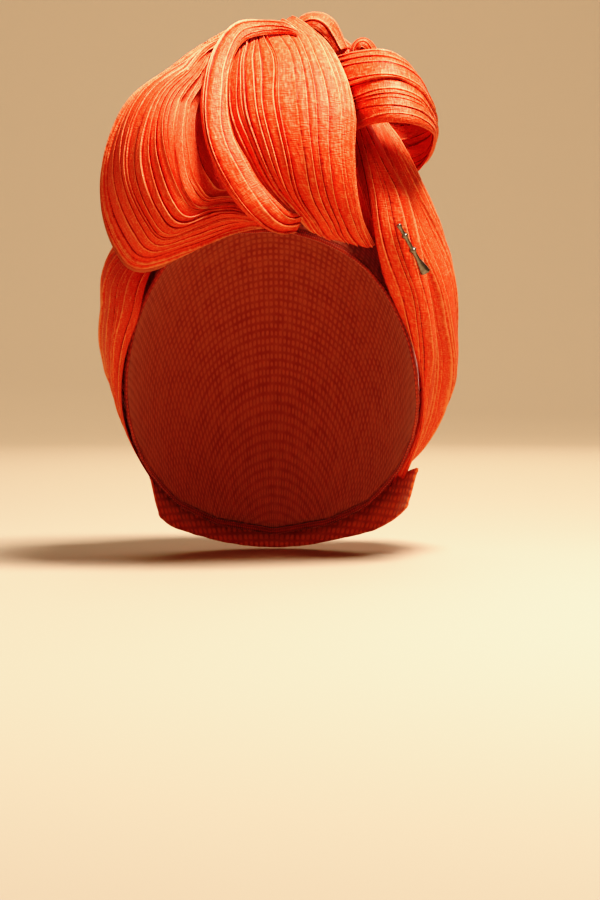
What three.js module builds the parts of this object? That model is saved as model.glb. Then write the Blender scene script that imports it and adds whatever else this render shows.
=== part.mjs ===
import * as THREE from 'three';

// Tied turban headpiece: pleated crinkle cloth wound over a woven cap, with a knot at the top front.
// Millimetres, +Z up, the front faces -Y. The origin is the crown of the head it is worn on.

// The worn head as an egg: half widths, and its reach above and below the widest level.
const HEAD = { x: 78, y: 97, up: 105, down: 130, level: -105 };

// Cloth and cap walls, and the least clear space left between two layers.
const CLOTH = 1.8;
const WEAVE = 1.6;
const SPACE = 0.6;

// Pleat depths, and how they vary: by a wave along and across the pleats, and less at a sheet's edges.
const PLEAT_DEPTH = { sheet: 2, narrow: 1.6, strand: 1, roll: 2.2, loop: 1.2 };
const PLEAT_WAVE = { even: 0.7, swing: 0.3, along: 0.5, across: 1.9, edge: 0.4 };

// How much of its raised far edge a sheet keeps where it is tucked, and how softly it meets the cap.
const TUCKED_RAISE = 0.55;
const KNEE = { loose: 2, tucked: 0.4 };

// Heights above the head: the cap wall's middle, then the lowest middle of a sheet lying on the cap.
const CAP_HEIGHT = 2;
const SHEET_HEIGHT = CAP_HEIGHT + WEAVE / 2 + SPACE + CLOTH / 2;

// The cap's edge: turn in degrees from the front, towards +X, and the level of the edge.
const CAP_EDGE = [
  { turn: -180, z: -188 },
  { turn: -150, z: -182 },
  { turn: -128, z: -170 },
  { turn: -108, z: -146 },
  { turn: -92, z: -118 },
  { turn: -80, z: -92 },
  { turn: -72, z: -64 },
  { turn: -66, z: -46 },
  { turn: -60, z: -34 },
  { turn: -45, z: -27 },
  { turn: -25, z: -23 },
  { turn: 0, z: -22 },
  { turn: 14, z: -23 },
  { turn: 29, z: -27 },
  { turn: 40, z: -32 },
  { turn: 50, z: -39 },
  { turn: 60, z: -53 },
  { turn: 70, z: -76 },
  { turn: 80, z: -104 },
  { turn: 92, z: -124 },
  { turn: 108, z: -148 },
  { turn: 128, z: -170 },
  { turn: 150, z: -182 },
  { turn: 180, z: -188 },
];

// Section of the double rolled binding: height above the head and distance past the cap's edge.
const BINDING_SECTION = [
  { height: 2.7, past: 1 },
  { height: 3, past: 1.8 },
  { height: 2.5, past: 2.7 },
  { height: 2.9, past: 3.6 },
  { height: 2.2, past: 4.5 },
  { height: 1, past: 3.7 },
  { height: 1, past: 1 },
];

// Woven band round the nape: turn from the front, top and bottom levels, height above the head.
const NAPE_BAND = [
  { turn: 108, top: -149, bottom: -170, height: 12.3 },
  { turn: 122, top: -155, bottom: -181, height: 11 },
  { turn: 140, top: -160, bottom: -188, height: 9.5 },
  { turn: 160, top: -164, bottom: -193, height: 9 },
  { turn: 180, top: -166, bottom: -195, height: 9 },
  { turn: 200, top: -164, bottom: -193, height: 9 },
  { turn: 218, top: -160, bottom: -188, height: 9 },
  { turn: 232, top: -156, bottom: -183, height: 9 },
  { turn: 240, top: -154, bottom: -177, height: 9 },
];

// Padded roll at the left: turn round the ring from the top to the left, its outer and inner radii,
// and how far forward and back it reaches.
const RING_CENTRE = { x: 8.6, z: 30.3 };
const ROLL = [
  { turn: 30, outer: 60, inner: 56, front: -51, back: -40 },
  { turn: 42, outer: 63, inner: 49, front: -63, back: -16 },
  { turn: 60, outer: 68, inner: 42, front: -80, back: 4 },
  { turn: 77, outer: 83, inner: 37.5, front: -91, back: 10 },
  { turn: 93, outer: 94, inner: 34.5, front: -97, back: 12 },
  { turn: 108, outer: 102.5, inner: 32.5, front: -98, back: 8 },
  { turn: 124, outer: 107, inner: 32.5, front: -96, back: -2 },
  { turn: 133, outer: 104.5, inner: 33, front: -93, back: -12 },
  { turn: 139, outer: 83, inner: 34, front: -90, back: -20 },
  { turn: 146, outer: 66, inner: 36, front: -87, back: -30 },
  { turn: 156, outer: 56, inner: 39, front: -84, back: -42 },
  { turn: 170, outer: 51, inner: 43.5, front: -79, back: -58 },
  { turn: 184, outer: 51, inner: 47.5, front: -74, back: -66 },
];

// Every draped sheet is a table of sections: one edge, the other edge, and how far it bulges between.
const PANEL = [
  { near: [-4.5, 8, 60.5], far: [14, 6, 62.5], lift: 2 },
  { near: [-12, -6, 80], far: [14, -8, 85.5], lift: 3 },
  { near: [-14, -36, 82.5], far: [13.5, -32, 91], lift: 1 },
  { near: [-19, -55, 69], far: [29, -54, 75], lift: 7.5 },
  { near: [-23, -70, 52.5], far: [38.5, -71, 55], lift: 14 },
  { near: [-22.5, -78, 34.5], far: [43, -83, 35.5], lift: 15 },
  { near: [-15, -84, 16.5], far: [42.5, -87, 16.5], lift: 14 },
  { near: [-4, -85, -0.5], far: [43.5, -85, -2], lift: 11 },
  { near: [12, -80, -13.5], far: [47, -77, -18], lift: 8 },
  { near: [19, -72, -20.5], far: [53.5, -64, -30.5], lift: 4 },
];
const CENTRE_FOLD = [
  { near: [14.3, -62.5, 79], far: [15.3, -65.5, 79], lift: 0.5 },
  { near: [6.8, -56, 85.5], far: [8.8, -61.5, 82], lift: 1.5 },
  { near: [-5.2, -51, 86.5], far: [-2.7, -58.5, 81], lift: 2 },
  { near: [-18.2, -54, 84.5], far: [-12.7, -62.5, 78.5], lift: 2.5 },
  { near: [-27.2, -63.1, 74.5], far: [-18.7, -69.1, 71.5], lift: 3 },
  { near: [-33.2, -77.1, 57.5], far: [-23.2, -81.1, 56], lift: 3.5 },
  { near: [-35.2, -87.1, 41], far: [-23.7, -89.1, 39.5], lift: 4 },
  { near: [-33.2, -94.1, 23.5], far: [-20.7, -94.1, 24.5], lift: 4 },
  { near: [-27.7, -98.1, 7.5], far: [-14.2, -98.1, 11.5], lift: 4 },
  { near: [-19.2, -97.1, -7.5], far: [-6.7, -98.1, -1.5], lift: 4 },
  { near: [-9.7, -95, -18], far: [2.8, -97.5, -12], lift: 3 },
  { near: [0.8, -90, -24.5], far: [9.3, -94, -17], lift: 2.5 },
  { near: [12.3, -85.3, -25.5], far: [14.8, -88.8, -16], lift: 1.5 },
];
const SIDE_LOOP = [
  { near: [26.1, -43.6, 64.5], far: [35.6, -49.6, 27], lift: 2 },
  { near: [35.6, -54.6, 68], far: [42.6, -66.6, 28.5], lift: 4 },
  { near: [46.6, -62.6, 69.5], far: [51.6, -82.6, 30.5], lift: 6 },
  { near: [59.1, -66.6, 69], far: [62.1, -90.6, 31], lift: 7 },
  { near: [69.6, -60.6, 63.5], far: [73.6, -88.6, 30], lift: 6 },
  { near: [77.1, -46.6, 54], far: [82.1, -74.6, 28], lift: 4 },
  { near: [83.1, -30.6, 46], far: [85.6, -50.6, 26], lift: 3 },
  { near: [81.6, -13.6, 43], far: [83.6, -26.6, 18], lift: 4 },
  { near: [73.1, -1.6, 44], far: [77.1, -5.6, 11], lift: 4 },
  { near: [63.1, 1.4, 47], far: [66.1, 1.4, 10], lift: 3 },
  { near: [53.1, 1.9, 50], far: [56.1, 2.4, 12], lift: 2 },
];
const RIGHT_WRAP = [
  { near: [54, -50, 29], far: [59, -38, 36], lift: 3 },
  { near: [57, -56, 10], far: [67.5, -24, 24], lift: 6 },
  { near: [61, -58, -11], far: [77, -4, 7], lift: 10 },
  { near: [66, -51, -33], far: [83, 28, -11], lift: 16 },
  { near: [72, -38, -56.5], far: [83, 52, -33], lift: 22 },
  { near: [77, -20, -82], far: [77, 72, -61], lift: 25 },
  { near: [78, 2, -108.5], far: [68, 84, -92.5], lift: 29 },
  { near: [76, 27, -136], far: [56.5, 91, -124], lift: 21 },
  { near: [67, 45, -163], far: [43, 86, -153], lift: 1 },
];
const RIGHT_STRAND = [
  { near: [45.5, -58, 28], far: [52, -55, 31], lift: 3 },
  { near: [47, -69, 15], far: [57.5, -63, 15.5], lift: 5 },
  { near: [50.5, -72, -2.5], far: [67, -59, -2.5], lift: 7 },
  { near: [53.5, -71, -22], far: [73, -55, -21.5], lift: 8 },
  { near: [58, -62, -42.5], far: [79, -46, -43], lift: 8 },
  { near: [65.5, -47, -64], far: [84.5, -34, -66], lift: 7 },
  { near: [72, -29, -85.5], far: [87, -19, -88.5], lift: 6 },
  { near: [75, -7, -108.5], far: [86, 1, -111.5], lift: 5 },
  { near: [75, 17, -132], far: [81, 22, -135.5], lift: 4 },
  { near: [70, 37, -154.5], far: [74.5, 40, -158], lift: 1 },
];
const LEFT_WRAP = [
  { near: [-60, -25, -37], far: [-78.5, 24, -18], lift: 4 },
  { near: [-66, -39, -51], far: [-84, 36, -35], lift: 14 },
  { near: [-69, -41, -68], far: [-84, 48, -53], lift: 16 },
  { near: [-73, -28, -87.5], far: [-79, 62, -77.5], lift: 18 },
  { near: [-75.5, -8, -111.5], far: [-68.5, 78, -103], lift: 16 },
  { near: [-75, 18, -135.5], far: [-55, 88, -126.5], lift: 9 },
  { near: [-67, 42, -161.5], far: [-44, 87, -151], lift: 1 },
];
const INNER_STRAND = [
  { near: [44.2, -50, 20], far: [50.7, -52, 25], lift: 2 },
  { near: [47.2, -54, 6], far: [53.2, -56, 11], lift: 3 },
  { near: [50.7, -56, -8], far: [56.7, -57, -3], lift: 3 },
  { near: [54.2, -55, -20.5], far: [60.7, -56, -15], lift: 2 },
];

// The crown wrap also says how closely each section follows the head, and how full it is over it.
const CROWN_WRAP = [
  { near: [-17, 9, 60], far: [23, 7, 58], lift: 5, hug: 0, full: 5 },
  { near: [-48, 14, 40], far: [48, 10, 39], lift: 14, hug: 0, full: 5 },
  { near: [-78, 14, 8], far: [72, 10, 6], lift: 24, hug: 0.1, full: 5 },
  { near: [-81, 20, -24], far: [79, 20, -26], lift: 40, hug: 0.45, full: 6 },
  { near: [-77, 34, -56], far: [77, 34, -58], lift: 54, hug: 0.85, full: 7 },
  { near: [-73, 50, -90], far: [73, 50, -92], lift: 52, hug: 1, full: 7 },
  { near: [-65, 62, -122], far: [65, 62, -124], lift: 40, hug: 1, full: 6 },
  { near: [-54, 72, -150], far: [54, 72, -150], lift: 26, hug: 1, full: 2 },
  { near: [-44, 78, -176], far: [44, 78, -176], lift: 16, hug: 1, full: 0 },
];

// The short rolled loops of cloth that stand up behind the knot: their path and half thicknesses.
const FRONT_TOP_LOOP = [
  { at: [15.8, -22, 80], across: 3.5, deep: 6 },
  { at: [18.3, -23.5, 87.5], across: 6, deep: 8 },
  { at: [25.3, -25, 87.5], across: 7.5, deep: 9 },
  { at: [31.8, -26, 81.5], across: 7, deep: 8 },
  { at: [36.8, -27, 73.5], across: 4.5, deep: 6 },
];
const MIDDLE_TOP_LOOP = [
  { at: [25.8, -10.5, 68], across: 4.5, deep: 5 },
  { at: [29.8, -9.5, 76], across: 6, deep: 7 },
  { at: [35.8, -10.5, 77.5], across: 7, deep: 8 },
  { at: [41.8, -11.5, 72.5], across: 6, deep: 7 },
  { at: [44.8, -13, 65], across: 4, deep: 5 },
];
const BACK_TOP_LOOP = [
  { at: [43.4, -27, 67.5], across: 3.5, deep: 6 },
  { at: [45.4, -26, 74.5], across: 4, deep: 7 },
  { at: [48.9, -26, 77], across: 5, deep: 8 },
  { at: [51.9, -26, 73], across: 5, deep: 7 },
  { at: [53.9, -27, 66.5], across: 3.5, deep: 6 },
];

// Bar pin with knuckles and a flared end: its two ends and its profile along the bar.
const PIN = { from: [66, -74.6, -20], to: [81, -63.6, -45], sides: 8 };
const PIN_PROFILE = [
  { along: 0, radius: 0 },
  { along: 0.02, radius: 1.4 },
  { along: 0.1, radius: 1 },
  { along: 0.2, radius: 1 },
  { along: 0.24, radius: 1.9 },
  { along: 0.3, radius: 1 },
  { along: 0.48, radius: 1 },
  { along: 0.53, radius: 2.1 },
  { along: 0.6, radius: 1.1 },
  { along: 0.72, radius: 1.1 },
  { along: 0.8, radius: 1.8 },
  { along: 0.97, radius: 2.8 },
  { along: 1, radius: 0 },
];

// Small sums on points held as [x, y, z].
const add = (a, b, k = 1) => [a[0] + b[0] * k, a[1] + b[1] * k, a[2] + b[2] * k];
const mix = (a, b, t) => a.map((value, i) => value * (1 - t) + b[i] * t);
const unit = (a) => {
  const length = Math.hypot(...a) || 1;
  return a.map((value) => value / length);
};
const cross = (a, b) => [a[1] * b[2] - a[2] * b[1], a[2] * b[0] - a[0] * b[2], a[0] * b[1] - a[1] * b[0]];

// A smooth curve through the rows of a table, t from 0 to 1, every number of a row treated alike.
function along(rows, t) {
  const span = Math.min(Math.max(t, 0), 1) * (rows.length - 1);
  const i = Math.min(Math.floor(span), rows.length - 2);
  const f = span - i;
  const b = rows[i];
  const c = rows[i + 1];
  const a = rows[i - 1] ?? b.map((value, n) => 2 * value - c[n]);
  const d = rows[i + 2] ?? c.map((value, n) => 2 * value - b[n]);
  return b.map((_, n) => {
    const slope = c[n] - a[n];
    const bend = 2 * a[n] - 5 * b[n] + 4 * c[n] - d[n];
    const twist = 3 * b[n] - a[n] - 3 * c[n] + d[n];
    return 0.5 * (2 * b[n] + slope * f + bend * f * f + twist * f * f * f);
  });
}

// The value of a table at a turn, between its two neighbouring rows.
function atTurn(rows, turn, key) {
  const i = Math.min(Math.max(rows.findIndex((row) => row.turn > turn) - 1, 0), rows.length - 2);
  const last = turn >= rows[rows.length - 1].turn ? rows.length - 2 : i;
  const [a, b] = [rows[last], rows[last + 1]];
  const f = (turn - a.turn) / (b.turn - a.turn);
  return a[key] + (b[key] - a[key]) * f;
}

// How high a point stands above the head, and the same point moved to another height.
function headRatio(p) {
  const reach = p[2] > HEAD.level ? HEAD.up : HEAD.down;
  return Math.hypot(p[0] / HEAD.x, p[1] / HEAD.y, (p[2] - HEAD.level) / reach);
}
function heightAbove(p) {
  const out = Math.hypot(p[0], p[1], p[2] - HEAD.level);
  return out * (1 - 1 / headRatio(p));
}
function atHeight(p, height) {
  const out = Math.hypot(p[0], p[1], p[2] - HEAD.level);
  const k = (out + height - heightAbove(p)) / out;
  return [p[0] * k, p[1] * k, HEAD.level + (p[2] - HEAD.level) * k];
}
function keptAbove(p, least, knee = KNEE.loose) {
  const over = (heightAbove(p) - least) / knee;
  const smooth = Math.max(over, 0) + Math.log1p(Math.exp(-Math.abs(over)));
  return atHeight(p, least + knee * smooth);
}

// A point at a given height above the head: turn in degrees from the front and level.
function onHead(turn, z, height) {
  const a = (turn * Math.PI) / 180;
  const reach = z > HEAD.level ? HEAD.up : HEAD.down;
  const k = Math.sqrt(Math.max(0, 1 - ((z - HEAD.level) / reach) ** 2));
  const p = [HEAD.x * k * Math.sin(a), -HEAD.y * k * Math.cos(a), z];
  const out = unit([p[0] / HEAD.x ** 2, p[1] / HEAD.y ** 2, (z - HEAD.level) / reach ** 2]);
  return add(p, out, height);
}

// Outward direction at every point of a grid, from its neighbours.
function normalsOf(grid, round) {
  const rows = grid.length;
  const cols = grid[0].length;
  return grid.map((row, i) => row.map((_, j) => {
    const ahead = grid[Math.min(i + 1, rows - 1)][j];
    const behind = grid[Math.max(i - 1, 0)][j];
    const right = round ? row[(j + 1) % cols] : row[Math.min(j + 1, cols - 1)];
    const left = round ? row[(j + cols - 1) % cols] : row[Math.max(j - 1, 0)];
    return unit(cross(add(ahead, behind, -1), add(right, left, -1)));
  }));
}

// How loose a sheet is at section i: 1 along its run, falling to 0 at the tucked ends.
function looseness(i, sections, start, end) {
  const t = i / (sections - 1);
  const ease = (x) => Math.min(Math.max(x, 0), 1);
  return (start ? ease(t / start) : 1) * (end ? ease((1 - t) / end) : 1);
}

// Every second line of a grid is raised and the others sunk, which makes the pleats.
function pleated(grid, depth, side, round, start = 0, end = 0) {
  const normals = normalsOf(grid, round);
  return grid.map((row, i) => row.map((p, j) => {
    const { even, swing, along: waveAlong, across } = PLEAT_WAVE;
    const edge = !round && (j === 0 || j === row.length - 1) ? PLEAT_WAVE.edge : 1;
    const wave = even + swing * Math.sin(i * waveAlong + j * across);
    const high = wave * looseness(i, grid.length, start, end) * edge * depth;
    return add(p, normals[i][j], (side * high * (j % 2 ? 1 : -1)) / 2);
  }));
}

// A draped sheet: a bulging strip between two edges, pleated, kept off the head.
function sheetGrid(table, sections, pleats, options = {}) {
  const { depth = PLEAT_DEPTH.sheet, side = 1, far = 0, start = 0, end = 0 } = options;
  const rows = table.map((row) => [...row.near, ...row.far, row.lift, row.hug ?? 0, row.full ?? 0]);
  const flat = Array.from({ length: sections }, (_, i) => along(rows, i / (sections - 1)));
  const middle = flat.map((row) => mix(row.slice(0, 3), row.slice(3, 6), 0.5));
  const grid = flat.map((row, i) => {
    const near = row.slice(0, 3);
    const width = add(row.slice(3, 6), near, -1);
    const ahead = middle[Math.min(i + 1, sections - 1)];
    const behind = middle[Math.max(i - 1, 0)];
    const out = unit(cross(unit(add(ahead, behind, -1)), width));
    return Array.from({ length: 2 * pleats + 1 }, (_, j) => {
      const t = j / (2 * pleats);
      const arch = Math.sqrt(Math.max(0, 1 - (2 * t - 1) ** 2));
      const p = add(add(near, width, t), out, side * row[6] * arch);
      const close = atHeight(p, SHEET_HEIGHT + row[8] * arch);
      return mix(p, close, Math.min(Math.max(row[7], 0), 1));
    });
  });
  return pleated(grid, depth, side, false, start, end).map((row, i) => row.map((p, j) => {
    const loose = looseness(i, sections, 0, end);
    const raised = Math.min(1, j / pleats) * far * (TUCKED_RAISE + (1 - TUCKED_RAISE) * loose);
    return keptAbove(p, SHEET_HEIGHT + raised, KNEE.tucked + (KNEE.loose - KNEE.tucked) * loose);
  }));
}

// A closed body from lists of points and faces, turned so that its faces look outward.
function bodyFrom(points, faces) {
  let volume = 0;
  for (const [a, b, c] of faces) {
    const n = cross(points[b], points[c]);
    volume += points[a][0] * n[0] + points[a][1] * n[1] + points[a][2] * n[2];
  }
  const index = faces.flatMap(([a, b, c]) => (volume < 0 ? [a, c, b] : [a, b, c]));
  const geometry = new THREE.BufferGeometry();
  geometry.setAttribute('position', new THREE.Float32BufferAttribute(points.flat(), 3));
  geometry.setIndex(index);
  geometry.computeVertexNormals();
  return geometry;
}

// The two triangles of a four cornered face.
const quad = (a, b, c, d) => [[a, b, c], [a, c, d]];

// A sheet of even thickness about a grid, closed along all four edges.
function shellBody(grid, thickness) {
  const rows = grid.length;
  const cols = grid[0].length;
  const normals = normalsOf(grid, false);
  const half = thickness / 2;
  const outer = grid.flatMap((row, i) => row.map((p, j) => add(p, normals[i][j], half)));
  const inner = grid.flatMap((row, i) => row.map((p, j) => add(p, normals[i][j], -half)));
  const at = (i, j) => i * cols + j;
  const under = (i, j) => rows * cols + at(i, j);
  const faces = [];
  for (let i = 0; i < rows - 1; i += 1) {
    for (let j = 0; j < cols - 1; j += 1) {
      faces.push(...quad(at(i, j), at(i + 1, j), at(i + 1, j + 1), at(i, j + 1)));
      faces.push(...quad(under(i, j), under(i, j + 1), under(i + 1, j + 1), under(i + 1, j)));
    }
    faces.push(...quad(at(i, 0), under(i, 0), under(i + 1, 0), at(i + 1, 0)));
    faces.push(...quad(at(i, cols - 1), at(i + 1, cols - 1), under(i + 1, cols - 1), under(i, cols - 1)));
  }
  for (let j = 0; j < cols - 1; j += 1) {
    faces.push(...quad(at(0, j), at(0, j + 1), under(0, j + 1), under(0, j)));
    faces.push(...quad(at(rows - 1, j), under(rows - 1, j), under(rows - 1, j + 1), at(rows - 1, j + 1)));
  }
  return bodyFrom([...outer, ...inner], faces);
}

// A solid form from ring sections, closed at both ends, or joined end to end.
function ringBody(grid, joined = false) {
  const rows = grid.length;
  const cols = grid[0].length;
  const points = grid.flat();
  const at = (i, j) => (i % rows) * cols + (j % cols);
  const faces = [];
  for (let i = 0; i < rows - (joined ? 0 : 1); i += 1) {
    for (let j = 0; j < cols; j += 1) {
      faces.push(...quad(at(i, j), at(i + 1, j), at(i + 1, j + 1), at(i, j + 1)));
    }
  }
  if (!joined) {
    for (const i of [0, rows - 1]) {
      const centre = grid[i].reduce((sum, p) => add(sum, p, 1 / cols), [0, 0, 0]);
      points.push(centre);
      for (let j = 0; j < cols; j += 1) {
        const [a, b] = i === 0 ? [j, j + 1] : [j + 1, j];
        faces.push([points.length - 1, at(i, a), at(i, b)]);
      }
    }
  }
  return bodyFrom(points, faces);
}

// Woven cap: two skins over the head from the crown to the cut edge.
function capBody(rings, turns) {
  const skins = [CAP_HEIGHT + WEAVE / 2, CAP_HEIGHT - WEAVE / 2];
  const points = skins.map((height) => [0, 0, height]);
  for (const height of skins) {
    for (let i = 1; i <= rings; i += 1) {
      for (let j = 0; j < turns; j += 1) {
        const turn = -180 + (360 * j) / turns;
        const edge = atTurn(CAP_EDGE, turn, 'z');
        const rise = edge - HEAD.level;
        const end = Math.acos(rise / (rise > 0 ? HEAD.up : HEAD.down));
        const lean = Math.cos((end * i) / rings);
        points.push(onHead(turn, HEAD.level + lean * (lean > 0 ? HEAD.up : HEAD.down), height));
      }
    }
  }
  const at = (skin, i, j) => 2 + (skin * rings + i - 1) * turns + (j % turns);
  const faces = [];
  for (let j = 0; j < turns; j += 1) {
    faces.push([0, at(0, 1, j), at(0, 1, j + 1)], [1, at(1, 1, j + 1), at(1, 1, j)]);
    for (let i = 1; i < rings; i += 1) {
      faces.push(...quad(at(0, i, j), at(0, i + 1, j), at(0, i + 1, j + 1), at(0, i, j + 1)));
      faces.push(...quad(at(1, i, j), at(1, i, j + 1), at(1, i + 1, j + 1), at(1, i + 1, j)));
    }
    faces.push(...quad(at(0, rings, j), at(1, rings, j), at(1, rings, j + 1), at(0, rings, j + 1)));
  }
  return bodyFrom(points, faces);
}

// Binding along the cap's edge.
function bindingBody(turns) {
  const grid = Array.from({ length: turns }, (_, i) => {
    const turn = -180 + (360 * i) / turns;
    const z = atTurn(CAP_EDGE, turn, 'z');
    const down = unit(add(onHead(turn, z - 1, 0), onHead(turn, z, 0), -1));
    return BINDING_SECTION.map(({ height, past }) => add(onHead(turn, z, height), down, past));
  });
  return ringBody(grid, true);
}

// Nape band: a strip at its own height above the head.
function napeBody(sections, steps) {
  const rows = NAPE_BAND.map(({ turn, top, bottom, height }) => [turn, top, bottom, height]);
  const grid = Array.from({ length: sections }, (_, i) => {
    const [turn, top, bottom, height] = along(rows, i / (sections - 1));
    return Array.from({ length: steps }, (_, j) => {
      return onHead(turn, top + ((bottom - top) * j) / (steps - 1), height);
    });
  });
  return shellBody(grid, WEAVE);
}

// Padded roll: oval sections round the ring, pleated, kept off the sheets that run below it.
function rollBody(sections, pleats) {
  const rows = ROLL.map(({ turn, outer, inner, front, back }) => [turn, outer, inner, front, back]);
  const grid = Array.from({ length: sections }, (_, i) => {
    const [turn, outer, inner, front, back] = along(rows, i / (sections - 1));
    const a = (turn * Math.PI) / 180;
    return Array.from({ length: 2 * pleats }, (_, j) => {
      const b = (Math.PI * j) / pleats;
      const radius = (outer + inner) / 2 + ((outer - inner) / 2) * Math.cos(b);
      const y = (front + back) / 2 - ((back - front) / 2) * Math.sin(b);
      return [RING_CENTRE.x - radius * Math.sin(a), y, RING_CENTRE.z + radius * Math.cos(a)];
    });
  });
  const deep = pleated(grid, PLEAT_DEPTH.roll, 1, true);
  return ringBody(deep.map((row) => row.map((p) => keptAbove(p, SHEET_HEIGHT + CLOTH))));
}

// Rolled loop of cloth along a path, with fine pleats running along it.
function loopBody(table, sections, pleats) {
  const rows = table.map((row) => [...row.at, row.across, row.deep]);
  const flat = Array.from({ length: sections }, (_, i) => along(rows, i / (sections - 1)));
  const grid = flat.map((row, i) => {
    const ahead = flat[Math.min(i + 1, sections - 1)].slice(0, 3);
    const behind = flat[Math.max(i - 1, 0)].slice(0, 3);
    const run = unit(add(ahead, behind, -1));
    const back = unit(add([0, 1, 0], run, -run[1]));
    const side = cross(run, back);
    return Array.from({ length: 2 * pleats }, (_, j) => {
      const b = (Math.PI * j) / pleats;
      return add(add(row.slice(0, 3), side, row[3] * Math.cos(b)), back, -row[4] * Math.sin(b));
    });
  });
  return ringBody(pleated(grid, PLEAT_DEPTH.loop, 1, true));
}

// Bar pin, turned to its profile and laid along the cloth.
function pinBody() {
  const from = new THREE.Vector3(...PIN.from);
  const to = new THREE.Vector3(...PIN.to);
  const length = from.distanceTo(to);
  const profile = PIN_PROFILE.map((row) => new THREE.Vector2(row.radius, row.along * length));
  const lathe = new THREE.LatheGeometry(profile, PIN.sides);
  const turn = new THREE.Quaternion().setFromUnitVectors(
    new THREE.Vector3(0, 1, 0),
    to.clone().sub(from).normalize(),
  );
  lathe.applyQuaternion(turn);
  lathe.translate(...PIN.from);
  return lathe;
}

const group = new THREE.Group();
group.name = 'tied_turban_pagri';

function addMesh(name, geometry, color, roughness, metalness = 0) {
  const mesh = new THREE.Mesh(geometry, new THREE.MeshStandardMaterial({ color, roughness, metalness }));
  mesh.name = name;
  group.add(mesh);
}

addMesh('base_cap', capBody(11, 36), '#a74730', 0.9);
addMesh('rim_binding', bindingBody(36), '#9c3a22', 0.85);
addMesh('nape_band', napeBody(17, 4), '#b84923', 0.9);
addMesh('front_roll', rollBody(25, 16), '#e9643a', 0.7);
addMesh('top_loop_front', loopBody(FRONT_TOP_LOOP, 11, 5), '#ea6238', 0.7);
addMesh('top_loop_middle', loopBody(MIDDLE_TOP_LOOP, 10, 5), '#e45831', 0.7);
addMesh('top_loop_back', loopBody(BACK_TOP_LOOP, 10, 5), '#e96036', 0.7);
addMesh('bar_pin', pinBody(), '#8f8c86', 0.35, 1);

// The draped sheets: table, sections along, pleats across, how it lies, and its colour.
const SHEETS = [
  ['crown_wrap', CROWN_WRAP, 12, 11, { side: -1, end: 0.2 }, '#e45831'],
  ['side_wrap_left', LEFT_WRAP, 13, 9, { side: -1, far: 4, end: 0.2 }, '#dd5430'],
  ['side_wrap_right', RIGHT_WRAP, 15, 10, { far: 4, start: 0.1, end: 0.2 }, '#e96036'],
  ['front_strand_right', RIGHT_STRAND, 16, 4, { depth: PLEAT_DEPTH.narrow, start: 0.1, end: 0.15 }, '#ec6a3c'],
  ['inner_strand', INNER_STRAND, 6, 2, { depth: PLEAT_DEPTH.strand }, '#d6482a'],
  ['centre_fold', CENTRE_FOLD, 20, 3, { depth: PLEAT_DEPTH.narrow }, '#ee6f40'],
  ['front_panel', PANEL, 17, 11, {}, '#ea6238'],
  ['side_loop', SIDE_LOOP, 18, 6, { side: -1, depth: PLEAT_DEPTH.narrow }, '#f07a48'],
];
for (const [name, table, sections, pleats, options, color] of SHEETS) {
  addMesh(name, shellBody(sheetGrid(table, sections, pleats, options), CLOTH), color, 0.7);
}

export default group;
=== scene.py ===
import bpy
import numpy as np
from math import radians
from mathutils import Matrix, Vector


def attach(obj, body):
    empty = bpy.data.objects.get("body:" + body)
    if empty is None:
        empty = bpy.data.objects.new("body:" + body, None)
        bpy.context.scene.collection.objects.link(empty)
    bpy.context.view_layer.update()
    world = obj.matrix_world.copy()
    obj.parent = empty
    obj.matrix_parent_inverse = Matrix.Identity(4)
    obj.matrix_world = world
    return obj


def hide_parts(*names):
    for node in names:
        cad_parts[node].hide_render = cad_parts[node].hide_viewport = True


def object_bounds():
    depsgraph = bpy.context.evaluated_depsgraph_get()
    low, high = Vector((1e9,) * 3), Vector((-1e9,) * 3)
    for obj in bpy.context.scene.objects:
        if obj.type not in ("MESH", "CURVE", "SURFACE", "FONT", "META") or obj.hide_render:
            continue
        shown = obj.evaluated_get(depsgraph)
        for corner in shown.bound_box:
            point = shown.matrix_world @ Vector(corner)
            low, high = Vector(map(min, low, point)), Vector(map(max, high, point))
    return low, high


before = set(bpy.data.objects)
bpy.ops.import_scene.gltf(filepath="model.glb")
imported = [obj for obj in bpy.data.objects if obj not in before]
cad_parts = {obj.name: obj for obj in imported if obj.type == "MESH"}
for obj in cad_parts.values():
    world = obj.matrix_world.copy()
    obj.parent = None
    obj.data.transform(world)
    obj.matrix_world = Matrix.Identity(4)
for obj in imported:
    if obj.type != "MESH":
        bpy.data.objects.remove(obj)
cad_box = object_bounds()

# Studio
# A camera a little under eye level with the crown, on a round sweep of pale paper, under a soft box above
# the front, with weak ones from the left and from behind, and one for the paper.
def linear(hex_colour):
    """sRGB hex to linear: each channel is divided by 255 and taken through the sRGB curve."""
    c = np.array([int(hex_colour[i:i + 2], 16) for i in (1, 3, 5)]) / 255
    return tuple(np.where(c <= 0.04045, c / 12.92, ((c + 0.055) / 1.055) ** 2.4)) + (1.0,)


# How many degrees below level the camera looks.
CAMERA_DIP = 2.5
camera = bpy.data.objects.new("camera", bpy.data.cameras.new("camera"))
camera.data.lens = 94.5
camera.data.sensor_width = 36
camera.location = (0.0154, -1.2988, -0.0835)
camera.rotation_euler = (radians(90 - CAMERA_DIP), 0, 0)
bpy.context.collection.objects.link(camera)
bpy.context.scene.camera = camera
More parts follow.
